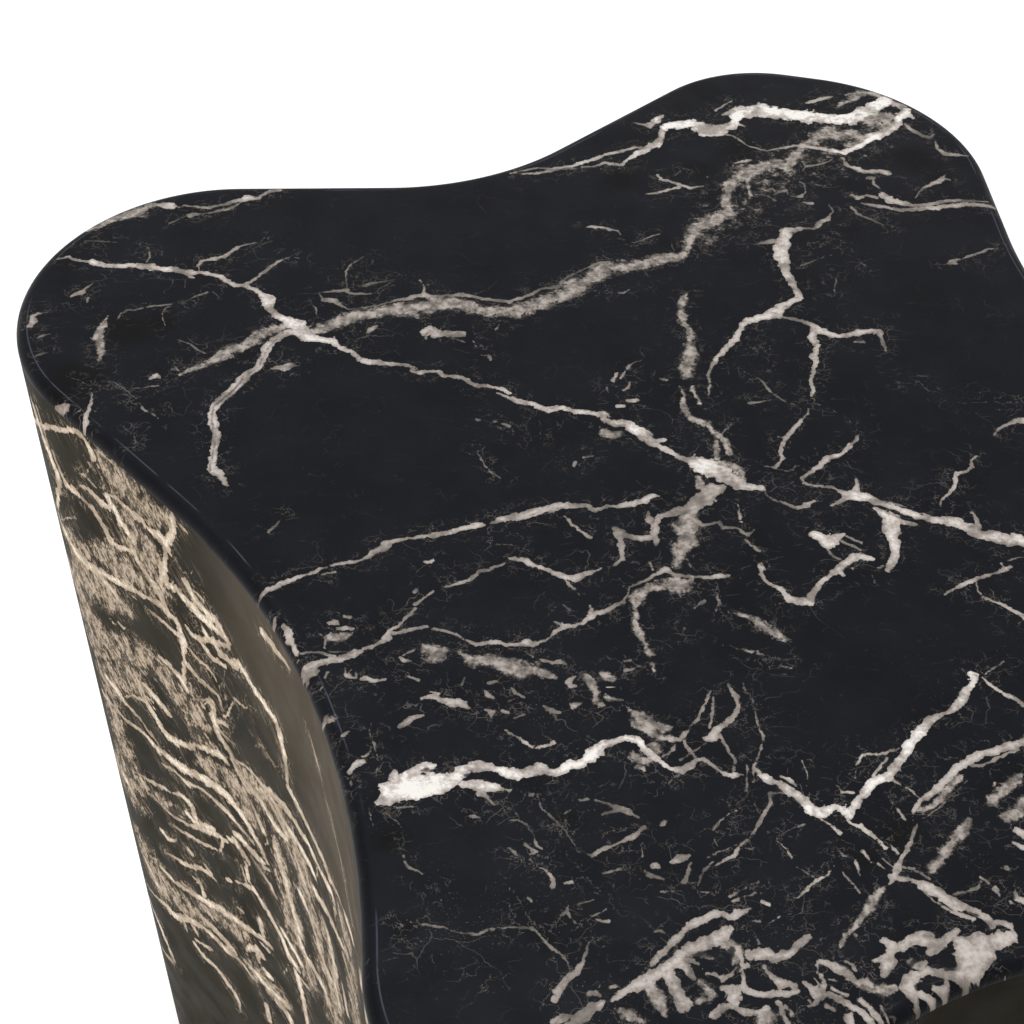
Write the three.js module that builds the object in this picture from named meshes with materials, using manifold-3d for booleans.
// A free-standing side table. A four-lobed top with a softly rounded edge sits flush on a closed,
// curved column of the same outline, and both carry one printed and lacquered black marble finish.
// Under the finish it is cabinet work: four bent wall panels wrapped round board formers on timber
// posts, a rebated top panel dowelled and screwed down from inside, and a base panel on glides.
// Millimetres, +Z up, +Y to the back. The origin is on the floor, under the middle of the outline.
import * as THREE from "three";
import { mergeVertices } from "three/addons/utils/BufferGeometryUtils.js";
import Module from "manifold-3d";

const wasm = await Module();
wasm.setup();

// Driving dimensions
const tableWidth = 515;
const tableDepth = 475;
const tableHeight = 500;

// Top panel, with a lip that lies on the walls and a thicker middle that drops inside them
const topThickness = 18;
const topEdgeRadius = 4.2;
const topEdgeLand = 0.3;

// Walls, formers and base panel
const wallThickness = 9;
const wallFootRadius = 2;
const formerThickness = 18;
const midFormerHeightShare = 0.5;
const formerHoleRadius = 22;
const formerHoleReachShare = 0.5;
const baseThickness = 15;
const baseRecess = 3;

// Timber posts, one in each lobe
const postWidth = 58;
const postDepth = 40;

// Glides
const glideRadius = 15;
const glideThickness = 8;
const glideEdgeRadius = 2;

// Wood screws. Those with a bite share reach that much of the way into the piece that they hold.
const postScrew = { headRadius: 4.4, headHeight: 3, shankRadius: 2.2, tip: 5, length: 50 };
const topScrew = { headRadius: 4, headHeight: 2.8, shankRadius: 2, tip: 4, biteShare: 0.66 };
const glideScrew = { headRadius: 3.4, headHeight: 2.2, shankRadius: 1.7, tip: 3.5, biteShare: 0.7 };
const glideScrewSink = 2.5;
const screwSocketRadius = 1.4;
const screwSocketDepth = 1.6;
const topScrewCount = 6;
const topScrewCircleRadius = 95;

// Dowels that locate the top panel
const dowelRadius = 4;
const dowelBiteShare = 0.66;
const dowelChamfer = 1;

// Clearances
const glueGap = 0.3;
const screwGap = 0.3;
const cutOverrun = 2;
const mergeTolerance = 0.0001;

// Facets
const arcStep = THREE.MathUtils.degToRad(5);
const roundOverSteps = 4;
const screwSides = 10;
const socketSides = 6;
const holeSides = 12;
const glideSides = 20;
const glideEdgeSteps = 2;
const formerHoleSides = 24;

// The outline is a ten-cornered figure whose corners are all filleted: six make the four lobes and
// four make the waists between them. x and radius are shares of the width, y of the depth.
const outlineShares = [
  { part: "left lobe", x: -0.676, y: 0.327, radius: 0.139 },
  { part: "left waist", x: -0.247, y: -0.172, radius: 0.498 },
  { part: "front lobe", x: -0.22, y: -0.68, radius: 0.121 },
  { part: "front waist", x: 0.106, y: -0.308, radius: 0.247 },
  { part: "right lobe", x: 0.505, y: -0.522, radius: 0.156 },
  { part: "right lobe, outer corner", x: 0.497, y: -0.154, radius: 0.155 },
  { part: "right waist", x: 0.204, y: 0.09, radius: 0.361 },
  { part: "back lobe", x: 0.182, y: 0.463, radius: 0.144 },
  { part: "back lobe, inner corner", x: 0.002, y: 0.511, radius: 0.102 },
  { part: "back waist", x: -0.181, y: 0.333, radius: 0.188 },
];
const lobeNames = ["left", "front", "right", "back"];

// Levels and lengths that follow from the sizes above
const floorGap = glideThickness - baseRecess;
const baseBottom = glideThickness;
const baseTop = baseBottom + baseThickness;
const wallTop = tableHeight - topEdgeRadius - topEdgeLand;
const topFormerTop = tableHeight - topThickness;
const topFormerBottom = topFormerTop - formerThickness;
const midFormerMiddle = THREE.MathUtils.lerp(baseTop, topFormerBottom, midFormerHeightShare);
const midFormerBottom = midFormerMiddle - formerThickness / 2;
const midFormerTop = midFormerBottom + formerThickness;
const formerInset = wallThickness + glueGap;
const dowelLength = 2 * dowelBiteShare * topThickness;
topScrew.length = formerThickness + topScrew.biteShare * topThickness;
glideScrew.length = glideThickness - glideScrewSink + glideScrew.biteShare * baseThickness;

// Each corner's fillet as an arc: its centre, its radius and the angles where it starts and turns.
// A fillet that would run past its neighbour is held back to the length of the side they share.
function cornerArcs() {
  const corners = outlineShares.map((c) => new THREE.Vector2(c.x * tableWidth, c.y * tableDepth));
  const count = corners.length;
  const arcs = corners.map((corner, i) => {
    const before = corners[(i + count - 1) % count].clone().sub(corner);
    const after = corners[(i + 1) % count].clone().sub(corner);
    const half = Math.acos(before.clone().normalize().dot(after.clone().normalize())) / 2;
    const radius = outlineShares[i].radius * tableWidth;
    return { part: outlineShares[i].part, corner, before, after, half, radius };
  });
  const reach = arcs.map((arc) => arc.radius / Math.tan(arc.half));
  const room = arcs.map((arc, i) => arc.after.length() / (reach[i] + reach[(i + 1) % count]));
  arcs.forEach((arc, i) => {
    arc.isLobe = arc.after.cross(arc.before) > 0;
    arc.radius *= Math.min(1, room[i], room[(i + count - 1) % count]);
    const inward = arc.before.normalize().add(arc.after.normalize()).normalize();
    arc.centre = arc.corner.clone().addScaledVector(inward, arc.radius / Math.sin(arc.half));
    arc.outward = inward.negate();
    arc.turn = (arc.isLobe ? 1 : -1) * (Math.PI - 2 * arc.half);
    arc.start = arc.outward.angle() - arc.turn / 2;
    arc.steps = 2 * Math.max(1, Math.round(Math.abs(arc.turn) / arcStep / 2));
  });
  return arcs;
}

const arcs = cornerArcs();

// The outline set inwards by a distance, anticlockwise, with the same number of points at any inset
function outlinePoints(inset) {
  return arcs.flatMap((arc) => {
    const radius = arc.isLobe ? arc.radius - inset : arc.radius + inset;
    return Array.from({ length: arc.steps + 1 }, (_, k) => {
      const angle = arc.start + (arc.turn * k) / arc.steps;
      return new THREE.Vector2(Math.cos(angle), Math.sin(angle)).multiplyScalar(radius).add(arc.centre);
    });
  });
}

// The middle of the outline's box is the origin, so every arc moves there once.
const outlineMiddle = new THREE.Box2().setFromPoints(outlinePoints(0)).getCenter(new THREE.Vector2());
arcs.forEach((arc) => arc.centre.sub(outlineMiddle));

const lobes = lobeNames.map((name) => arcs.find((arc) => arc.part === `${name} lobe`));

// Where a lobe's middle lies in the list of outline points
function lobePointIndex(lobe) {
  const before = arcs.slice(0, arcs.indexOf(lobe));
  return before.reduce((sum, arc) => sum + arc.steps + 1, 0) + lobe.steps / 2;
}

// A closed solid through level rings of equal point count, capped at both ends
function loftRings(rings) {
  const count = rings[0].points.length;
  const position = rings.flatMap(({ points, z }) => points.flatMap((p) => [p.x, p.y, z]));
  const index = [];
  for (let ring = 0; ring < rings.length - 1; ring++) {
    for (let i = 0; i < count; i++) {
      const a = ring * count + i;
      const b = ring * count + ((i + 1) % count);
      index.push(a, b, b + count, a, b + count, a + count);
    }
  }
  const last = (rings.length - 1) * count;
  for (const [a, b, c] of THREE.ShapeUtils.triangulateShape(rings[0].points, [])) index.push(a, c, b);
  for (const [a, b, c] of THREE.ShapeUtils.triangulateShape(rings[rings.length - 1].points, [])) {
    index.push(last + a, last + b, last + c);
  }
  return new THREE.BufferGeometry()
    .setAttribute("position", new THREE.Float32BufferAttribute(position, 3))
    .setIndex(index);
}

// A flat plate of any closed outline between two levels
function plate(points, bottom, top) {
  const shape = new THREE.Shape(points);
  const geometry = new THREE.ExtrudeGeometry(shape, { depth: top - bottom, bevelEnabled: false });
  return geometry.translate(0, 0, bottom);
}

// A solid turned about Z, from [radius, height] pairs that start and end on the axis
function turned(profile, sides) {
  const geometry = new THREE.LatheGeometry(profile.map(([r, z]) => new THREE.Vector2(r, z)), sides);
  return geometry.rotateX(Math.PI / 2);
}

function toSolid(geometry) {
  const bare = geometry.clone();
  bare.deleteAttribute("normal");
  bare.deleteAttribute("uv");
  const merged = mergeVertices(bare, mergeTolerance);
  return new wasm.Manifold(
    new wasm.Mesh({
      numProp: 3,
      vertProperties: new Float32Array(merged.attributes.position.array),
      triVerts: new Uint32Array(merged.index.array),
    })
  );
}

function toGeometry(solid) {
  const mesh = solid.getMesh();
  const geometry = new THREE.BufferGeometry()
    .setAttribute("position", new THREE.BufferAttribute(mesh.vertProperties, 3))
    .setIndex(new THREE.BufferAttribute(mesh.triVerts, 1));
  geometry.computeVertexNormals();
  return geometry;
}

function cut(geometry, tools) {
  return toGeometry(tools.reduce((solid, tool) => solid.subtract(toSolid(tool)), toSolid(geometry)));
}

function keepInside(geometry, tool) {
  return toGeometry(toSolid(geometry).intersect(toSolid(tool)));
}

// A plain round pin between two levels
function pin(radius, bottom, top, sides, at) {
  const profile = [[0, bottom], [radius, bottom], [radius, top], [0, top]];
  return turned(profile, sides).translate(at.x, at.y, 0);
}

// A countersunk screw's profile with its head's face at z = 0 and its tip up, grown by a clearance
function screwProfile(size, gap) {
  return [
    [0, -gap],
    [size.headRadius + gap, -gap],
    [size.shankRadius + gap, size.headHeight],
    [size.shankRadius + gap, size.length - size.tip],
    [0, size.length + gap],
  ];
}

// Stands a turned piece at a place: facing up from a level, or turned over to point down from it
function placed(geometry, at, z, pointsDown) {
  if (pointsDown) geometry.rotateX(Math.PI);
  return geometry.translate(at.x, at.y, z);
}

function screw(size, at, z, pointsDown) {
  const axis = new THREE.Vector2();
  const socket = pin(screwSocketRadius, -cutOverrun, screwSocketDepth, socketSides, axis);
  return placed(cut(turned(screwProfile(size, 0), screwSides), [socket]), at, z, pointsDown);
}

function screwHole(size, at, z, pointsDown) {
  const mouth = [[0, -cutOverrun], [size.headRadius + screwGap, -cutOverrun]];
  const profile = [...mouth, ...screwProfile(size, screwGap).slice(1)];
  return placed(turned(profile, holeSides), at, z, pointsDown);
}

function dowelHole(at) {
  const half = dowelLength / 2 + screwGap;
  return pin(dowelRadius + screwGap, topFormerTop - half, topFormerTop + half, holeSides, at);
}

// Places in plan
const glidePlaces = lobes.map((lobe) => lobe.centre);
const dowelPlaces = lobes.map((lobe) => lobe.centre);
const postPlaces = lobes.map((lobe) => {
  return lobe.centre.clone().addScaledVector(lobe.outward, lobe.radius - formerInset - postDepth / 2);
});
const formerHolePlaces = lobes.map((lobe) => lobe.centre.clone().multiplyScalar(formerHoleReachShare));
const topScrewPlaces = Array.from({ length: topScrewCount }, (_, k) => {
  const spoke = new THREE.Vector2(topScrewCircleRadius, 0);
  return spoke.rotateAround(new THREE.Vector2(), (2 * Math.PI * k) / topScrewCount);
});

// The top panel: rebated below, so that it drops inside the walls and only its lip lies on them,
// with its long edge rounded over and blind holes for dowels and screws in its underside
function topPanel() {
  const rings = [
    { points: outlinePoints(formerInset), z: topFormerTop },
    { points: outlinePoints(formerInset), z: wallTop },
    { points: outlinePoints(0), z: wallTop },
  ];
  for (let k = 0; k <= roundOverSteps; k++) {
    const angle = (Math.PI / 2) * (k / roundOverSteps);
    rings.push({
      points: outlinePoints(topEdgeRadius * (1 - Math.cos(angle))),
      z: tableHeight - topEdgeRadius * (1 - Math.sin(angle)),
    });
  }
  return cut(loftRings(rings), [
    ...dowelPlaces.map(dowelHole),
    ...topScrewPlaces.map((at) => screwHole(topScrew, at, topFormerBottom)),
  ]);
}

// A wall panel bent from the middle of one lobe, through a waist, to the middle of the next
function wallPanel(lobe, nextLobe) {
  const start = lobePointIndex(lobe);
  const end = lobePointIndex(nextLobe);
  const run = (inset) => {
    const points = outlinePoints(inset);
    return end > start ? points.slice(start, end + 1) : [...points.slice(start), ...points.slice(0, end + 1)];
  };
  const section = (inset) => [...run(inset), ...run(wallThickness).reverse()];
  return loftRings([
    { points: section(wallFootRadius), z: floorGap },
    { points: section(0), z: floorGap + wallFootRadius },
    { points: section(0), z: wallTop },
  ]);
}

// A post's plain block, grown by a clearance, between two levels
function postBlock(k, gap, bottom, top) {
  const block = new THREE.BoxGeometry(postDepth + 2 * gap, postWidth + 2 * gap, top - bottom);
  return block
    .rotateZ(lobes[k].outward.angle())
    .translate(postPlaces[k].x, postPlaces[k].y, (top + bottom) / 2);
}

// A post is planed on its outer face to the curve of the wall that it backs.
function post(k) {
  const wallInside = plate(outlinePoints(formerInset), baseTop - cutOverrun, topFormerBottom + cutOverrun);
  return cut(keepInside(postBlock(k, 0, baseTop, topFormerBottom), wallInside), [
    screwHole(postScrew, postPlaces[k], topFormerTop, true),
    screwHole(postScrew, postPlaces[k], baseBottom),
  ]);
}

function formerHoles(bottom, top) {
  const tool = (at) => pin(formerHoleRadius, bottom - cutOverrun, top + cutOverrun, formerHoleSides, at);
  return formerHolePlaces.map(tool);
}

function topFormer() {
  return cut(plate(outlinePoints(formerInset), topFormerBottom, topFormerTop), [
    ...formerHoles(topFormerBottom, topFormerTop),
    ...dowelPlaces.map(dowelHole),
    ...postPlaces.map((at) => screwHole(postScrew, at, topFormerTop, true)),
    ...topScrewPlaces.map((at) => screwHole(topScrew, at, topFormerBottom)),
  ]);
}

// The middle former is notched round the posts, which run on past it.
function midFormer() {
  const notch = (_, k) => postBlock(k, glueGap, midFormerBottom - cutOverrun, midFormerTop + cutOverrun);
  return cut(plate(outlinePoints(formerInset), midFormerBottom, midFormerTop), [
    ...formerHoles(midFormerBottom, midFormerTop),
    ...postPlaces.map(notch),
  ]);
}

function basePanel() {
  return cut(plate(outlinePoints(formerInset), baseBottom, baseTop), [
    ...postPlaces.map((at) => screwHole(postScrew, at, baseBottom)),
    ...glidePlaces.map((at) => screwHole(glideScrew, at, glideScrewSink)),
  ]);
}

// A round glide with a softened rim and a sunk screw
function glide(at) {
  const rim = Array.from({ length: glideEdgeSteps + 1 }, (_, k) => {
    const angle = (Math.PI / 2) * (k / glideEdgeSteps);
    return [
      glideRadius - glideEdgeRadius * (1 - Math.sin(angle)),
      glideEdgeRadius * (1 - Math.cos(angle)),
    ];
  });
  const profile = [[0, 0], ...rim, [glideRadius, glideThickness], [0, glideThickness]];
  const disc = turned(profile, glideSides).translate(at.x, at.y, 0);
  return cut(disc, [screwHole(glideScrew, at, glideScrewSink)]);
}

function dowel(at) {
  const half = dowelLength / 2;
  const neck = dowelRadius - dowelChamfer;
  const profile = [
    [0, -half],
    [neck, -half],
    [dowelRadius, dowelChamfer - half],
    [dowelRadius, half - dowelChamfer],
    [neck, half],
    [0, half],
  ];
  return turned(profile, holeSides).translate(at.x, at.y, topFormerTop);
}

const finishes = {
  marble: new THREE.MeshStandardMaterial({ color: 0x15161a, roughness: 0.38, metalness: 0 }),
  board: new THREE.MeshStandardMaterial({ color: 0xa98c63, roughness: 0.85, metalness: 0 }),
  sealedBoard: new THREE.MeshStandardMaterial({ color: 0x2b2a28, roughness: 0.7, metalness: 0 }),
  timber: new THREE.MeshStandardMaterial({ color: 0xd0ad76, roughness: 0.8, metalness: 0 }),
  zinc: new THREE.MeshStandardMaterial({ color: 0xb9bcc0, roughness: 0.35, metalness: 1 }),
  nylon: new THREE.MeshStandardMaterial({ color: 0x1d1d1e, roughness: 0.55, metalness: 0 }),
};

const table = new THREE.Group();

function add(name, geometry, finish) {
  const mesh = new THREE.Mesh(geometry, finishes[finish]);
  mesh.name = name;
  table.add(mesh);
}

add("top_panel", topPanel(), "marble");
lobeNames.forEach((name, k) => {
  add(`wall_panel_${name}`, wallPanel(lobes[k], lobes[(k + 1) % lobes.length]), "marble");
});
add("top_former", topFormer(), "board");
add("mid_former", midFormer(), "board");
add("base_panel", basePanel(), "sealedBoard");
lobeNames.forEach((name, k) => {
  add(`post_${name}`, post(k), "timber");
  add(`post_screw_upper_${name}`, screw(postScrew, postPlaces[k], topFormerTop, true), "zinc");
  add(`post_screw_lower_${name}`, screw(postScrew, postPlaces[k], baseBottom), "zinc");
  add(`dowel_${name}`, dowel(dowelPlaces[k]), "timber");
  add(`glide_${name}`, glide(glidePlaces[k]), "nylon");
  add(`glide_screw_${name}`, screw(glideScrew, glidePlaces[k], glideScrewSink), "zinc");
});
topScrewPlaces.forEach((at, k) => {
  add(`top_screw_${k + 1}`, screw(topScrew, at, topFormerBottom), "zinc");
});

export default table;
